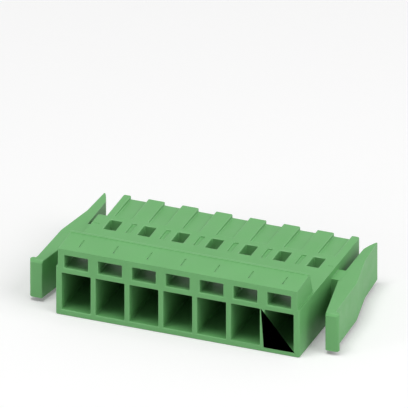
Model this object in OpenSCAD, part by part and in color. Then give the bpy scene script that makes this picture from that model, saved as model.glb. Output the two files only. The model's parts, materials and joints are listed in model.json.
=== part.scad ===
// Seven-position pluggable wire connector of the crimp-contact type.
// One moulded housing with a wire chamber per position, two side latch levers on flexing webs,
// and one folded sheet-metal contact in each chamber. Millimetres, +Z up.
// The wire side faces -Y and the mating side faces +Y. The origin is at the middle of the footprint.

/* [Row of positions] */
// Number of contact positions
positions = 7; // [2:1:12]
// Distance between neighbouring positions
pitch = 5.08; // [5:0.01:6.35]

/* [Housing block] */
// Material outside the outermost pitch cell, on each side
end_margin = 0.52; // [0.3:0.01:1.5]
// Height of the flat deck above the underside
deck_h = 7.5; // [7:0.1:9]
// Depth of the full-width block, from the wire side
base_d = 16.7; // [16:0.1:18]
// Length of the mating part behind the full-width block
mating_d = 6.75; // [6:0.05:9]
// How far the left flank of the mating part is set in
mating_inset = 1.2; // [0.2:0.05:1.4]
// Rounding of the upright corners
corner_r = 0.3; // [0.1:0.05:0.4]

/* [Hat above the wire side] */
// Height of the hat above the deck, at its front edge
hat_front_h = 2.95; // [2.6:0.05:4]
// How much higher the top is at the rear rim
hat_rise = 0.25; // [0.05:0.05:0.6]
// Depth of the hat at its top
hat_top_d = 5.1; // [4.5:0.1:6]
// Depth of the hat at the deck
hat_foot_d = 6.1; // [5.8:0.1:8]
// Ledge beside the hat, on each side
hat_ledge = 0.3; // [0.1:0.05:0.6]
// Draft of the hat's flanks, from foot to top
hat_draft = 0.08; // [0.02:0.01:0.3]
// Width of the raised rim along the rear edge of the hat
rim_w = 0.5; // [0.3:0.05:1.2]
// Height of that rim
rim_h = 0.14; // [0.04:0.02:0.2]
// Length of the shallow groove over each position
groove_l = 2; // [1:0.1:3]
// Width of that groove
groove_w = 0.2; // [0.1:0.05:0.4]
// Depth of that groove
groove_depth = 0.04; // [0.02:0.02:0.2]

/* [Wire chambers and windows] */
// Wall between neighbouring chambers
chamber_wall = 0.78; // [0.5:0.02:1]
// Floor under the chambers
floor_t = 0.85; // [0.6:0.05:1.2]
// Wall between the chambers and the deck
deck_t = 0.85; // [0.6:0.05:1.2]
// Wall between neighbouring windows
window_wall = 1.55; // [1:0.05:2.4]
// Roof over the windows, at the front
roof_t = 0.95; // [0.6:0.05:1.2]

/* [Deck details] */
// Distance from the release holes to the mating side
release_back = 7.6; // [7.2:0.05:8]
// Length of a release hole
release_l = 2.9; // [2.4:0.05:3]
// Width of a release hole
release_w = 1.8; // [1.5:0.1:2.6]
// Width of the shallow slots between the holes
slot_w = 0.7; // [0.3:0.05:1]
// Sideways shift of a slot from the line between two positions
slot_shift = 0.24; // [0:0.02:0.5]
// Depth of these slots
slot_depth = 0.3; // [0.1:0.02:0.5]
// Length of the short mark beside each outermost hole
mark_l = 0.9; // [0.5:0.1:1.1]
// Width of that mark
mark_w = 0.2; // [0.1:0.05:0.4]
// Depth of that mark
mark_depth = 0.06; // [0.02:0.02:0.2]

/* [Coding channels] */
// Width of the channels between the ribs
channel_w = 2.6; // [2:0.02:3]
// Sideways shift of a channel from its position
channel_shift = 0.55; // [0:0.05:0.6]
// Length of the channels, from the mating side
channel_l = 6.5; // [4:0.05:7]
// Depth of a channel at its shallow end
channel_shallow = 0.3; // [0.05:0.05:0.3]
// Depth of a channel at the mating side
channel_deep = 0.55; // [0.35:0.05:0.8]

/* [Contact cavities] */
// Width of a cavity
cavity_w = 2.9; // [2.7:0.05:3.3]
// Height of a cavity
cavity_h = 3.5; // [3.2:0.05:4]
// Wall between the cavities and the mating face
mating_wall = 1.15; // [0.8:0.05:1.6]
// Width and height of a pin opening
pin_opening = 2; // [1.6:0.1:2.4]
// Lead-in round a pin opening
pin_lead_in = 0.4; // [0.2:0.05:0.6]
// Cone between a wire chamber and its cavity
funnel_l = 0.8; // [0.3:0.1:1.5]

/* [Latch levers] */
// Clear gap between the flank and the rear arm of a lever
lever_gap = 1.05; // [0.9:0.05:1.6]
// Clear gap between the flank and the front end of a lever
pad_gap = 2.95; // [2.5:0.05:4]
// Underside of the levers above the underside of the housing
lever_z = 0.6; // [0.3:0.05:1]
// Height of the levers
lever_h = 5.9; // [5:0.1:6.2]
// Distance of the front end of the levers from the wire side
lever_front = 2.4; // [1:0.1:4]
// How far the tips reach past the mating side
lever_reach = 1.2; // [0.5:0.1:2.5]
// Thickness of a lever at its front end
pad_t = 1.2; // [1:0.05:1.6]
// Thickness of a lever at the web
lever_t = 2.82; // [2.2:0.02:3.2]
// Thickness of the rear arm at its waist
waist_t = 1.5; // [1.3:0.05:1.9]
// Distance of that waist from the mating side
waist_back = 4.55; // [3.5:0.05:5.5]
// Thickness of the rear arm at its tip
tip_t = 1.15; // [1.1:0.05:1.25]
// Length of the lead-in inside the tip
lead_in_l = 2.5; // [1.5:0.05:3]
// How far the lead-in has come out at the tip
lead_in_w = 1; // [0.5:0.05:1]
// Radius of the lead-in
lead_in_r = 10; // [4:1:30]
// Radius of the bead along the front end
bead_r = 0.5; // [0.3:0.05:0.55]
// Bevel on the upper front edge
pad_bevel = 0.35; // [0.1:0.05:0.6]

/* [Flexing webs] */
// Distance from the middle of the webs to the rear of the full-width block
web_back = 3; // [2.4:0.05:3.6]
// Thickness of a web
web_t = 2.95; // [2:0.05:3.2]
// Space between the flank and the lever half of a web
web_root = 0.4; // [0.3:0.05:0.5]
// Clearance between the two halves of a web
web_clearance = 0.05; // [0.03:0.01:0.1]

/* [Contacts] */
// Thickness of the contact sheet
sheet_t = 0.3; // [0.2:0.02:0.4]
// Clearance between a contact and its cavity
contact_clearance = 0.1; // [0.05:0.01:0.15]
// Outer bending radius of the folded box
fold_r = 0.45; // [0.42:0.01:0.6]
// Length of the contact box
box_l = 9; // [8.5:0.1:9.2]
// Seam along the top of the box
seam_w = 0.15; // [0.1:0.05:0.3]
// Length of the conductor crimp
wire_crimp_l = 2.2; // [1.6:0.1:2.6]
// Inner radius of the conductor crimp
wire_crimp_r = 0.75; // [0.5:0.05:0.8]
// Length of the insulation crimp
sleeve_crimp_l = 2; // [1.4:0.1:2.4]
// Inner radius of the insulation crimp
sleeve_crimp_r = 1.15; // [1:0.05:1.3]
// Length of the plain strip before each crimp
neck_l = 0.5; // [0.3:0.05:0.8]
// Gap between the two spring leaves where they grip the pin
pin_grip = 0.8; // [0.5:0.05:0.95]
// Width of the locking lance
lance_w = 1.1; // [0.7:0.05:1.3]
// How far the lance stands above the box
lance_rise = 0.65; // [0.4:0.05:0.8]

/* [Hidden] */
$fn = 48;

// Cuts run this far past the faces that they open.
over = 1;

// Colours
green = [0.49, 0.73, 0.48];
tin = [0.78, 0.78, 0.76];

// Housing outline
half_w = positions * pitch / 2 + end_margin;
housing_d = base_d + mating_d;
overall_d = housing_d + lever_reach;
release_y = housing_d - release_back - release_l;
web_y = base_d - web_back;

// Openings
chamber_w = pitch - chamber_wall;
chamber_h = deck_h - deck_t - floor_t;
window_w = pitch - window_wall;
window_h = hat_front_h - roof_t;
hat_rear_h = hat_front_h + hat_rise;

// Contacts, measured from the wire side
contact_z = floor_t + chamber_h / 2;
contact_w = cavity_w - 2 * contact_clearance;
contact_h = cavity_h - 2 * contact_clearance;
contact_end = housing_d - mating_wall - contact_clearance;
box_y = contact_end - box_l;
wire_crimp_y = box_y - neck_l - wire_crimp_l;
sleeve_crimp_y = wire_crimp_y - neck_l - sleeve_crimp_l;
chamber_d = sleeve_crimp_y + sleeve_crimp_l + 2 * contact_clearance;

// Levers, measured from the flank and the wire side. A web turns about an upright axis inside the
// flank: its two halves meet on a cylinder whose ends stay web_root off the flank.
pivot_in = (pow(web_root, 2) + pow(web_t / 2, 2) - pow(lever_gap, 2)) / (2 * (lever_gap - web_root));
pivot_r = pivot_in + lever_gap;
knee_y = web_y - web_t / 2;
lead_in_chord = [lead_in_w, lead_in_l];

// Middle of position i, counted from 0
function position_x(i) = (i - (positions - 1) / 2) * pitch;

// Puts the children into the frame of the part
module in_frame() {
    translate([0, -overall_d / 2, 0]) children();
}

// Extrudes an outline drawn in Y and Z along X, centred on X = 0
module along_x(width) {
    translate([-width / 2, 0, 0])
        rotate([90, 0, 90])
            linear_extrude(width) children();
}

// Extrudes an outline drawn in X and Z along Y, from y
module along_y(y, length) {
    translate([0, y + length, 0])
        rotate([90, 0, 0])
            linear_extrude(length) children();
}

// Rectangle with rounded corners, from [0, 0]
module rounded_rectangle(size, r) {
    translate([r, 0]) square([size.x - 2 * r, size.y]);
    translate([0, r]) square([size.x, size.y - 2 * r]);
    for (x = [r, size.x - r], y = [r, size.y - r])
        translate([x, y]) circle(r);
}

// Square hole that widens evenly to both sides and up and down along Y
module flared_hole(y, length, w1, h1, w2, h2) {
    intersection() {
        translate([0, 0, -max(h1, h2)])
            linear_extrude(2 * max(h1, h2))
                polygon([[-w1 / 2, y], [w1 / 2, y], [w2 / 2, y + length], [-w2 / 2, y + length]]);
        along_x(2 * max(w1, w2))
            polygon([[y, -h1 / 2], [y, h1 / 2], [y + length, h2 / 2], [y + length, -h2 / 2]]);
    }
}

// Full-width block and the narrower mating part behind it
module housing_block() {
    translate([-half_w, 0, 0])
        linear_extrude(deck_h)
            rounded_rectangle([2 * half_w, base_d], corner_r);
    translate([mating_inset - half_w, base_d - 2 * corner_r, 0])
        linear_extrude(deck_h)
            rounded_rectangle([2 * half_w - mating_inset, mating_d + 2 * corner_r], corner_r);
}

// Side view of the hat, with its rear rim
module hat_profile() {
    rim_y = hat_top_d - rim_w;
    polygon([
        [0, -over],
        [0, hat_front_h],
        [rim_y, hat_rear_h],
        [rim_y, hat_rear_h + rim_h],
        [hat_top_d, hat_rear_h + rim_h],
        [hat_foot_d, 0],
        [hat_foot_d, -over]
    ]);
}

// Front view of the hat
module hat_front() {
    foot = half_w - hat_ledge;
    top = foot - hat_draft;
    polygon([
        [-foot, -over],
        [-foot, 0],
        [-top, hat_rear_h + rim_h],
        [top, hat_rear_h + rim_h],
        [foot, 0],
        [foot, -over]
    ]);
}

module hat() {
    translate([0, 0, deck_h])
        intersection() {
            along_x(2 * half_w) hat_profile();
            along_y(0, hat_foot_d) hat_front();
        }
}

// Front half of a web, carried by the housing
module web_stub() {
    translate([0, 0, lever_z])
        linear_extrude(lever_h)
            intersection() {
                translate([-over, web_y - web_t / 2]) square([over + lever_gap, web_t]);
                translate([-pivot_in, web_y]) circle(pivot_r);
            }
}

// Everything that is open at one position, from the wire side to the pin opening
module position_openings() {
    cavity_y = chamber_d + funnel_l;
    mating_y = housing_d - mating_wall;
    translate([-chamber_w / 2, -over, floor_t])
        cube([chamber_w, over + chamber_d, chamber_h]);
    translate([0, 0, contact_z]) {
        flared_hole(chamber_d, funnel_l, chamber_w, chamber_h, cavity_w, cavity_h);
        translate([-cavity_w / 2, cavity_y, -cavity_h / 2])
            cube([cavity_w, mating_y - cavity_y, cavity_h]);
        translate([-pin_opening / 2, mating_y, -pin_opening / 2])
            cube([pin_opening, mating_wall, pin_opening]);
        flared_hole(housing_d - pin_lead_in, pin_lead_in,
            pin_opening, pin_opening, pin_opening + 2 * pin_lead_in, pin_opening + 2 * pin_lead_in);
    }
    translate([-window_w / 2, -over, deck_h])
        cube([window_w, hat_foot_d + 2 * over, window_h]);
    translate([-release_w / 2, release_y, contact_z])
        cube([release_w, release_l, deck_h - contact_z + over]);
    groove_on_hat();
}

// Shallow groove in the sloping top of the hat
module groove_on_hat() {
    slope = atan2(hat_rise, hat_top_d - rim_w);
    translate([-groove_w / 2, 0, deck_h + hat_front_h])
        rotate([slope, 0, 0])
            translate([0, (hat_top_d - rim_w - groove_l) / 2, -groove_depth])
                cube([groove_w, groove_l, over]);
}

// Ramped channel between two ribs on the mating part
module coding_channel() {
    translate([channel_shift, housing_d, deck_h])
        along_x(channel_w)
            polygon([
                [-channel_l, over],
                [-channel_l, -channel_shallow],
                [0, -channel_deep],
                [over, -channel_deep],
                [over, over]
            ]);
}

// Shallow marks beside the outermost holes
module end_marks() {
    outer = half_w - hat_ledge - mark_l;
    for (x = [-outer - mark_l, outer])
        translate([x, release_y + release_l / 3, deck_h - mark_depth])
            cube([mark_l, mark_w, over]);
}

module housing() {
    color(green)
        in_frame()
            difference() {
                union() {
                    housing_block();
                    hat();
                    translate([half_w, 0, 0]) web_stub();
                    mirror([1, 0, 0]) translate([half_w, 0, 0]) web_stub();
                }
                for (i = [0 : positions - 1])
                    translate([position_x(i), 0, 0]) {
                        position_openings();
                        coding_channel();
                    }
                for (i = [0 : positions - 2])
                    translate([position_x(i) + pitch / 2 + slot_shift - slot_w / 2, release_y, deck_h - slot_depth])
                        cube([slot_w, release_l, slot_depth + over]);
                end_marks();
            }
}

// Plan of a lever, drawn from the right flank. Its tip has a lead-in at the mating side.
module lever_plan() {
    bead = [pad_gap + pad_t + bead_r / 2, lever_front + bead_r];
    lead_in_start = [lever_gap, overall_d - lead_in_l];
    lead_in_centre = lead_in_start + lead_in_chord / 2
        + [lead_in_l, -lead_in_w] * sqrt(pow(lead_in_r / norm(lead_in_chord), 2) - 1 / 4);
    difference() {
        union() {
            polygon([
                [pad_gap, lever_front],
                [bead.x, lever_front],
                [pad_gap + pad_t, lever_front + 3 * bead_r],
                [lever_gap + lever_t, knee_y],
                [lever_gap + waist_t, housing_d - waist_back],
                [lever_gap + tip_t, overall_d],
                [lever_gap, overall_d],
                [lever_gap, knee_y]
            ]);
            translate(bead) circle(bead_r);
            translate([web_root / 2, knee_y]) square([lever_gap, web_t]);
        }
        translate([-pivot_in, web_y]) circle(pivot_r + web_clearance);
        difference() {
            translate(lead_in_start - [over, 0]) square([over + lead_in_w, lead_in_l + over]);
            translate(lead_in_centre) circle(lead_in_r, $fn = 4 * $fn);
        }
    }
}

module latch_lever() {
    translate([half_w, 0, 0])
        difference() {
            translate([0, 0, lever_z])
                linear_extrude(lever_h) lever_plan();
            translate([pad_gap + pad_t, lever_front, lever_z + lever_h])
                along_x(4 * pad_t)
                    polygon([[-over, over], [-over, -pad_bevel - over], [pad_bevel + over, over]]);
        }
}

module latch_lever_right() {
    color(green) in_frame() latch_lever();
}

module latch_lever_left() {
    color(green) in_frame() mirror([1, 0, 0]) latch_lever();
}

// Folded box of the contact, open along its top seam and cut free round the lance
module contact_box() {
    difference() {
        along_y(box_y, box_l)
            difference() {
                translate([-contact_w / 2, -contact_h / 2])
                    rounded_rectangle([contact_w, contact_h], fold_r);
                translate([sheet_t - contact_w / 2, sheet_t - contact_h / 2])
                    rounded_rectangle([contact_w - 2 * sheet_t, contact_h - 2 * sheet_t], fold_r - sheet_t);
                translate([-seam_w / 2, 0]) square([seam_w, contact_h]);
            }
        translate([-lance_w / 2 - seam_w, box_y - over, contact_h / 2 - sheet_t - over / 2])
            cube([lance_w + 2 * seam_w, release_y + release_l - seam_w - box_y + over, sheet_t + over]);
    }
}

// Spring leaf on one side of the pin, bent in from the wall of the box to the grip and out at its end
module spring_leaf() {
    wall_x = contact_w / 2 - sheet_t;
    grip_x = pin_grip / 2;
    leaf_t = sheet_t * 0.8;
    root_y = box_y + box_l / 3;
    grip_y = contact_end - box_l / 6;
    leaf_h = contact_h / 2;
    translate([0, 0, -leaf_h / 2])
        linear_extrude(leaf_h)
            polygon([
                [wall_x + sheet_t / 2, root_y],
                [wall_x, root_y],
                [grip_x, grip_y],
                [grip_x + leaf_t, contact_end],
                [grip_x + 2 * leaf_t, contact_end],
                [grip_x + leaf_t, grip_y],
                [wall_x, root_y + 2 * leaf_t],
                [wall_x + sheet_t / 2, root_y + 2 * leaf_t]
            ]);
}

// Locking lance, which rises into the release hole and stops against its front wall
module lance() {
    root_y = release_y + release_l + seam_w;
    free_y = release_y + seam_w;
    z = contact_h / 2;
    along_x(lance_w)
        polygon([
            [root_y + sheet_t, z],
            [root_y - sheet_t, z],
            [free_y, z + lance_rise],
            [free_y, z + lance_rise - sheet_t],
            [root_y - sheet_t, z - sheet_t],
            [root_y + sheet_t, z - sheet_t]
        ]);
}

// Open crimp barrel: a round trough with two upright wings
module crimp_barrel(y, length, r) {
    outer = r + sheet_t;
    trough_z = sheet_t + r - contact_h / 2;
    translate([0, 0, trough_z])
        along_y(y, length)
            difference() {
                union() {
                    circle(outer);
                    for (side = [-1, 1])
                        translate([side * (r + sheet_t / 2) - sheet_t / 2, 0])
                            square([sheet_t, 1.6 * r]);
                }
                circle(r);
                translate([-r, 0]) square([2 * r, 2 * outer]);
            }
}

// Flat strip that joins the box and the crimps
module contact_strip() {
    strip_w = wire_crimp_r;
    translate([-strip_w / 2, sleeve_crimp_y, -contact_h / 2])
        cube([strip_w, box_y - sleeve_crimp_y + sheet_t, sheet_t]);
}

module contact(i) {
    color(tin)
        in_frame()
            translate([position_x(i), 0, contact_z]) {
                contact_box();
                for (side = [0, 1])
                    mirror([side, 0, 0]) spring_leaf();
                lance();
                crimp_barrel(wire_crimp_y, wire_crimp_l, wire_crimp_r);
                crimp_barrel(sleeve_crimp_y, sleeve_crimp_l, sleeve_crimp_r);
                contact_strip();
            }
}

housing();
latch_lever_left();
latch_lever_right();
contact(0);  // contact_1
contact(1);  // contact_2
contact(2);  // contact_3
contact(3);  // contact_4
contact(4);  // contact_5
contact(5);  // contact_6
contact(6);  // contact_7
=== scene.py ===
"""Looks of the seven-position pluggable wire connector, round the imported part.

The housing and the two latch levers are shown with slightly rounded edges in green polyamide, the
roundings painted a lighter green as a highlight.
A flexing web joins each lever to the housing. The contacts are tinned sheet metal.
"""

import itertools
import json
import math

import bmesh
import bpy
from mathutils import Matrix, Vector
from mathutils.kdtree import KDTree

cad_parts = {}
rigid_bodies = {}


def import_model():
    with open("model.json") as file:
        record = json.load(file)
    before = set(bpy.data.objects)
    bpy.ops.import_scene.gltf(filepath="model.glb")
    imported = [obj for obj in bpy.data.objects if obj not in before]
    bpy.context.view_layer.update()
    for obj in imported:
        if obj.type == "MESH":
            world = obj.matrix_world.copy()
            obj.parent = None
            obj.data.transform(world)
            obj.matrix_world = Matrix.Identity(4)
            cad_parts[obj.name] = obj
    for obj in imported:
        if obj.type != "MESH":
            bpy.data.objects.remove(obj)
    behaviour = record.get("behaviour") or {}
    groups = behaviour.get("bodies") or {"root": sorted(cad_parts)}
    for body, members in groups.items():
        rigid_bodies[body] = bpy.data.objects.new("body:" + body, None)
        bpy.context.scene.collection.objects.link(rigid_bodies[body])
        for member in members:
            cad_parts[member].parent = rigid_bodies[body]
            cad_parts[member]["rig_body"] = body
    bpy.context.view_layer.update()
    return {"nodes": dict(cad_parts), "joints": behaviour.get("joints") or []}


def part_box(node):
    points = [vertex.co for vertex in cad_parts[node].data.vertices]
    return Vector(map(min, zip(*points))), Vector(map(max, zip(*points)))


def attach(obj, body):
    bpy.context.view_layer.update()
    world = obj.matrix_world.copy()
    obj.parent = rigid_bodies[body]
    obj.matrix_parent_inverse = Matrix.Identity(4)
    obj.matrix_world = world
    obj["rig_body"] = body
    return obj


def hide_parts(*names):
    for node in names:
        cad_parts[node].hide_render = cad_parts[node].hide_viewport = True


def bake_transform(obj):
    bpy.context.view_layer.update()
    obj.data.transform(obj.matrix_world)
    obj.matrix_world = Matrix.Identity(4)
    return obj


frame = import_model()

MM = 0.001

# Rounding of the moulded edges
EDGE_ROUNDING = 0.16 * MM
EDGE_SEGMENTS = 3
SHARP_ANGLE = math.radians(25)
RUN_ANGLE = math.radians(35)
# An edge takes this share of the room beside it, which is looked for up to this many roundings away.
ROOM_SHARE = 0.4
ROOM_REACH = 3
SAMPLES_PER_REACH = 3
# Below this, the way to another edge's point counts as sideways, not as lengthwise.
LENGTHWISE_SHARE = 0.75
MERGE_DISTANCE = 0.001 * MM
FLAT_ANGLE = math.radians(0.3)
SEAM_TOLERANCE = 0.1 * MM

# The skin of a flexing web lies this far outside the two halves that it covers.
WEB_SKIN = 0.015 * MM
WEB_OVERLAP = 0.35 * MM
WEB_BENDS = 10
WEB_THICKNESS = 2.95 * MM
WEB_PIVOT_IN = 0.9486 * MM

# Camera
VIEW_AZIMUTH = math.radians(21.14)
VIEW_ELEVATION = math.radians(28.18)
VIEW_WIDTH = 57.12 * MM
VIEW_DISTANCE = 400 * MM
VIEW_CENTRE = Vector((0.06, -2.18, 15.89)) * MM

# Light and floor, lengths in metres
WORLD_LEVEL = 0.28
FLOOR_COLOUR = 0.9
FLOOR_LIFT = 0.15
FLOOR_SIZE = 1.5
LAMP_DISTANCE = 0.6
# Name, direction from the part, side length and watts
LAMPS = (
    ("ceiling lamp", (-0.1, -0.2, 1.0), 0.25, 1.55),
    ("right lamp", (0.7, -0.1, 0.7), 0.4, 1.2),
    ("low right lamp", (0.95, -0.2, 0.25), 0.2, 0.3),
    ("low front lamp", (-0.7, -0.7, 0.2), 0.2, 0.6),
)


# ---------------------------------------------------------------- node helpers


def socket_list(group, kind, names):
    """Adds sockets of one kind to a node group.

    names maps a socket's name to its default value, or to None for a vector.
    """
    for name, default in names.items():
        socket_type = "NodeSocketVector" if default is None else "NodeSocketFloat"
        socket = group.interface.new_socket(name=name, in_out=kind, socket_type=socket_type)
        if default is not None:
            socket.default_value = default


def add_node(tree, kind, inputs=None, **settings):
    """Adds a node. inputs maps a socket's name or number to a value or to an output to link."""
    node = tree.nodes.new(kind)
    for name, value in settings.items():
        setattr(node, name, value)
    for key, value in (inputs or {}).items():
        if isinstance(value, bpy.types.NodeSocket):
            tree.links.new(value, node.inputs[key])
        else:
            node.inputs[key].default_value = value
    return node


def surface_marks_group():
    """Marks that moulded and stamped pieces share: fine grain, cloudy colour and handling smudges."""
    group = bpy.data.node_groups.new("Surface marks", "ShaderNodeTree")
    socket_list(
        group,
        "INPUT",
        {"Coordinates": None, "Grain size": 0.1, "Cloud size": 4.0, "Smudge size": 2.0},
    )
    socket_list(group, "OUTPUT", {"Grain": 0.5, "Cloud": 0.5, "Smudge": 0.5})
    given = group.nodes.new("NodeGroupInput")
    result = group.nodes.new("NodeGroupOutput")
    for size, output, detail, low, high in (
        ("Grain size", "Grain", 2.0, 0.0, 1.0),
        ("Cloud size", "Cloud", 3.0, 0.3, 0.7),
        ("Smudge size", "Smudge", 5.0, 0.38, 0.66),
    ):
        per_metre = add_node(
            group, "ShaderNodeMath", {0: 1 / MM, 1: given.outputs[size]}, operation="DIVIDE"
        )
        noise = add_node(
            group,
            "ShaderNodeTexNoise",
            {
                "Vector": given.outputs["Coordinates"],
                "Scale": per_metre.outputs[0],
                "Detail": detail,
            },
        )
        spread = add_node(
            group,
            "ShaderNodeMapRange",
            {"Value": noise.outputs["Fac"], "From Min": low, "From Max": high},
        )
        group.links.new(spread.outputs["Result"], result.inputs[output])
    return group


def finish_material(name, marks, sizes, colours, roughness, bump, **shader_values):
    """A material from the shared surface marks.

    colours and roughness are the two ends of the variation. bump is its strength and height.
    """
    material = bpy.data.materials.new(name)
    material.use_nodes = True
    tree = material.node_tree
    shader = tree.nodes["Principled BSDF"]
    for key, value in shader_values.items():
        shader.inputs[key.replace("_", " ")].default_value = value
    place = add_node(tree, "ShaderNodeTexCoord")
    surface = add_node(tree, "ShaderNodeGroup", node_tree=marks)
    tree.links.new(place.outputs["Object"], surface.inputs["Coordinates"])
    for key, value in sizes.items():
        surface.inputs[key].default_value = value
    mix = tree.nodes.new("ShaderNodeMix")
    mix.data_type = "RGBA"
    tree.links.new(surface.outputs["Cloud"], mix.inputs[0])
    mix.inputs[6].default_value = (*colours[0], 1)
    mix.inputs[7].default_value = (*colours[1], 1)
    tree.links.new(mix.outputs[2], shader.inputs["Base Color"])
    shine = add_node(
        tree,
        "ShaderNodeMapRange",
        {"Value": surface.outputs["Smudge"], "To Min": roughness[0], "To Max": roughness[1]},
    )
    tree.links.new(shine.outputs["Result"], shader.inputs["Roughness"])
    relief = add_node(
        tree,
        "ShaderNodeBump",
        {"Height": surface.outputs["Grain"], "Strength": bump[0], "Distance": bump[1]},
    )
    tree.links.new(relief.outputs["Normal"], shader.inputs["Normal"])
    return material


# ---------------------------------------------------------------- materials

surface_marks = surface_marks_group()
# Sizes of the marks in millimetres
polyamide_marks = {"Grain size": 0.09, "Cloud size": 5.0, "Smudge size": 2.5}
sheet_marks = {"Grain size": 0.03, "Cloud size": 1.5, "Smudge size": 0.8}

green_polyamide = finish_material(
    "Green polyamide",
    surface_marks,
    polyamide_marks,
    colours=((0.135, 0.405, 0.132), (0.148, 0.43, 0.145)),
    roughness=(0.46, 0.56),
    bump=(0.25, 0.004 * MM),
    IOR=1.5,
)
# The rounded edges get a lighter green than the faces, a painted highlight, and a glossier finish.
green_edges_painted_highlight = finish_material(
    "Green polyamide edges with painted highlight",
    surface_marks,
    polyamide_marks,
    colours=((0.15, 0.43, 0.147), (0.163, 0.455, 0.16)),
    roughness=(0.3, 0.38),
    bump=(0.15, 0.003 * MM),
    IOR=1.5,
)
tinned_sheet = finish_material(
    "Tinned sheet metal",
    surface_marks,
    sheet_marks,
    colours=((0.56, 0.55, 0.52), (0.66, 0.65, 0.62)),
    roughness=(0.22, 0.4),
    bump=(0.2, 0.002 * MM),
    Metallic=1.0,
)


# ---------------------------------------------------------------- moulded pieces


def edge_samples(edge, spacing):
    """Points along an edge, off its ends."""
    start, end = (v.co for v in edge.verts)
    count = max(1, round(edge.calc_length() / spacing))
    return [start.lerp(end, (k + 0.5) / count) for k in range(count)]


def room_beside(edges, reach):
    """How far each edge is from the nearest other edge that runs beside it, up to reach."""
    spacing = reach / SAMPLES_PER_REACH
    samples = [(point, edge) for edge in edges for point in edge_samples(edge, spacing)]
    tree = KDTree(len(samples))
    for number, (point, _) in enumerate(samples):
        tree.insert(point, number)
    tree.balance()
    room = {edge: reach for edge in edges}
    for point, edge in samples:
        along = (edge.verts[1].co - edge.verts[0].co).normalized()
        for other_point, number, distance in tree.find_range(point, reach):
            other = samples[number][1]
            if other is edge or set(other.verts) & set(edge.verts) or distance >= room[edge]:
                continue
            if abs((other_point - point).dot(along)) < LENGTHWISE_SHARE * distance:
                room[edge] = distance
    return room


def even_along_runs(edges, room):
    """Gives every edge of a run that bends gently from edge to edge the least room in that run."""
    run_of = {edge: {edge} for edge in edges}
    for vert in {v for edge in edges for v in edge.verts}:
        here = [edge for edge in vert.link_edges if edge in run_of]
        for one, other in itertools.combinations(here, 2):
            to_one = (one.other_vert(vert).co - vert.co).normalized()
            to_other = (other.other_vert(vert).co - vert.co).normalized()
            runs_on = to_one.dot(to_other) < -math.cos(RUN_ANGLE)
            if runs_on and run_of[one] is not run_of[other]:
                run_of[one] |= run_of[other]
                for edge in run_of[other]:
                    run_of[edge] = run_of[one]
    for edge, run in run_of.items():
        room[edge] = min(room[other] for other in run)


def moulded_copy(node, name, seams):
    """The CAD node's shape with its edges rounded as far as there is room beside them.

    Edges on the seams between a web's two halves stay sharp: seams lists the upright axes and the
    radii of these seams.
    """
    source = frame["nodes"][node]
    mesh = bpy.data.meshes.new(name)
    bm = bmesh.new()
    bm.from_mesh(source.data)
    bmesh.ops.remove_doubles(bm, verts=bm.verts, dist=MERGE_DISTANCE)
    bmesh.ops.dissolve_limit(bm, angle_limit=FLAT_ANGLE, verts=bm.verts, edges=bm.edges)
    weight = bm.edges.layers.float.new("bevel_weight_edge")
    inner = [edge for edge in bm.edges if len(edge.link_faces) == 2]
    sharp = [edge for edge in inner if edge.calc_face_angle(0) > SHARP_ANGLE]
    room = room_beside(sharp, ROOM_REACH * EDGE_ROUNDING)
    even_along_runs(sharp, room)
    for edge in sharp:
        on_seam = any(
            all(abs((v.co.xy - Vector(axis)).length - radius) < SEAM_TOLERANCE for v in edge.verts)
            for axis, radius in seams
        )
        if on_seam:
            edge.smooth = False
        else:
            edge[weight] = min(1, ROOM_SHARE * room[edge] / EDGE_ROUNDING)
    for face in bm.faces:
        face.smooth = True
    bm.to_mesh(mesh)
    bm.free()
    for spare in ("custom_normal", "sharp_face"):
        if spare in mesh.attributes:
            mesh.attributes.remove(mesh.attributes[spare])
    piece = bpy.data.objects.new(name, mesh)
    bpy.context.scene.collection.objects.link(piece)
    rounding = piece.modifiers.new("Rounded edges", "BEVEL")
    rounding.limit_method = "WEIGHT"
    rounding.width = EDGE_ROUNDING
    rounding.segments = EDGE_SEGMENTS
    rounding.use_clamp_overlap = False
    piece.modifiers.new("Even shading", "WEIGHTED_NORMAL").keep_sharp = True
    piece.data.materials.append(green_polyamide)
    piece.data.materials.append(green_edges_painted_highlight)
    # The roundings take the lighter material: a painted highlight along every rounded edge.
    rounding.material = 1
    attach(piece, source["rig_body"])
    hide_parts(node)


# The levers turn about upright axes inside the flanks.
pivot_of = {joint["child"]: Vector(joint["pos_m"]) for joint in frame["joints"]}
lever_of = {"latch_left": "latch_lever_left", "latch_right": "latch_lever_right"}


def build_moulded_pieces():
    seam_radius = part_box("housing")[1].x - max(p.x for p in pivot_of.values())
    seams = [(pivot.xy, seam_radius) for pivot in pivot_of.values()]
    moulded_copy("housing", "moulded_housing", seams)
    for lever in lever_of.values():
        moulded_copy(lever, lever.replace("latch_", "moulded_"), seams)


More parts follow.
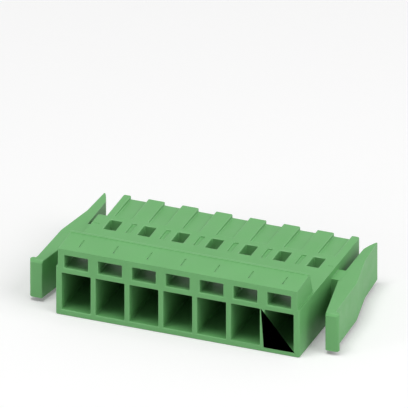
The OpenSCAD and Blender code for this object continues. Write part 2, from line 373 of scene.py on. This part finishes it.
def build_web(body):
    """The thin web that carries a lever: one box over its two halves, cut across its length in
    WEB_BENDS places.
    """
    web_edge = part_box("housing")[1].x
    pivot = pivot_of[body]
    side = math.copysign(1, pivot.x)
    lever_low, lever_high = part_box(lever_of[body])
    flank = abs(pivot.x) + WEB_PIVOT_IN
    bm = bmesh.new()
    bmesh.ops.create_cube(bm, size=1)
    start = flank - WEB_OVERLAP
    end = web_edge + WEB_OVERLAP
    thickness = WEB_THICKNESS + 2 * WEB_SKIN
    size = Vector((end - start, thickness, lever_high.z - lever_low.z + 2 * WEB_SKIN))
    centre = Vector((side * (start + end) / 2, pivot.y, (lever_low.z + lever_high.z) / 2))
    bmesh.ops.scale(bm, verts=bm.verts, vec=size)
    bmesh.ops.translate(bm, verts=bm.verts, vec=centre)
    lengthwise = [
        edge for edge in bm.edges if abs(edge.verts[0].co.x - edge.verts[1].co.x) > size.x / 2
    ]
    bmesh.ops.subdivide_edges(bm, edges=lengthwise, cuts=WEB_BENDS, use_grid_fill=True)
    mesh = bpy.data.meshes.new("flexing_web_" + body.split("_")[1])
    bm.to_mesh(mesh)
    bm.free()
    web = bpy.data.objects.new(mesh.name, mesh)
    bpy.context.scene.collection.objects.link(web)
    web.data.materials.append(green_polyamide)
    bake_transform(web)


build_moulded_pieces()
for body in lever_of:
    build_web(body)
for name, node in frame["nodes"].items():
    if name.startswith("contact"):
        node.data.materials.clear()
        node.data.materials.append(tinned_sheet)


# ---------------------------------------------------------------- floor, light and camera


def seen_or_lit(tree, seen_level, light_level):
    """One level where it is looked at straight or in a reflection, another for the light it gives."""
    path = add_node(tree, "ShaderNodeLightPath")
    seen = path.outputs["Is Camera Ray"]
    for ray in ("Is Glossy Ray", "Is Transmission Ray"):
        either = add_node(
            tree, "ShaderNodeMath", {0: seen, 1: path.outputs[ray]}, operation="MAXIMUM"
        )
        seen = either.outputs[0]
    level = add_node(
        tree,
        "ShaderNodeMapRange",
        {"Value": seen, "To Min": light_level, "To Max": seen_level},
    )
    return level.outputs["Result"]


def build_world():
    world = bpy.data.worlds.new("Studio")
    bpy.context.scene.world = world
    world.use_nodes = True
    tree = world.node_tree
    background = tree.nodes["Background"]
    background.inputs["Color"].default_value = (1, 1, 1, 1)
    tree.links.new(seen_or_lit(tree, 1, WORLD_LEVEL), background.inputs["Strength"])


def build_floor():
    mesh = bpy.data.meshes.new("floor")
    bm = bmesh.new()
    bmesh.ops.create_grid(bm, x_segments=1, y_segments=1, size=FLOOR_SIZE)
    bm.to_mesh(mesh)
    bm.free()
    floor = bpy.data.objects.new("floor", mesh)
    bpy.context.scene.collection.objects.link(floor)
    material = bpy.data.materials.new("White table")
    material.use_nodes = True
    tree = material.node_tree
    tree.nodes.clear()
    paper = add_node(tree, "ShaderNodeBsdfDiffuse", {"Color": (FLOOR_COLOUR,) * 3 + (1,)})
    glow = add_node(tree, "ShaderNodeEmission", {"Strength": seen_or_lit(tree, FLOOR_LIFT, 0)})
    both = add_node(tree, "ShaderNodeAddShader", {0: paper.outputs[0], 1: glow.outputs[0]})
    add_node(tree, "ShaderNodeOutputMaterial", {"Surface": both.outputs[0]})
    floor.data.materials.append(material)


def add_lamp(name, direction, size, watts):
    """A soft square lamp that looks at the part from a direction."""
    light = bpy.data.lights.new(name, "AREA")
    light.shape = "SQUARE"
    light.size = size
    light.energy = watts
    lamp = bpy.data.objects.new(name, light)
    bpy.context.scene.collection.objects.link(lamp)
    towards = Vector(direction).normalized()
    lamp.location = towards * LAMP_DISTANCE
    lamp.rotation_mode = "QUATERNION"
    lamp.rotation_quaternion = (-towards).to_track_quat("-Z", "Y")
    lamp.visible_camera = False


def build_camera():
    camera = bpy.data.cameras.new("camera")
    camera.type = "ORTHO"
    camera.ortho_scale = VIEW_WIDTH
    holder = bpy.data.objects.new("camera", camera)
    bpy.context.scene.collection.objects.link(holder)
    back = Vector((
        math.sin(VIEW_AZIMUTH) * math.cos(VIEW_ELEVATION),
        -math.cos(VIEW_AZIMUTH) * math.cos(VIEW_ELEVATION),
        math.sin(VIEW_ELEVATION),
    ))
    holder.location = VIEW_CENTRE + back * VIEW_DISTANCE
    holder.rotation_mode = "QUATERNION"
    holder.rotation_quaternion = (-back).to_track_quat("-Z", "Y")
    bpy.context.scene.camera = holder


build_world()
build_floor()
for lamp in LAMPS:
    add_lamp(*lamp)
# Light that bounces on between the green walls would make the hollows too bright and too green.
bpy.context.scene.cycles.diffuse_bounces = 1
build_camera()
bpy.context.scene.view_settings.view_transform = "Standard"
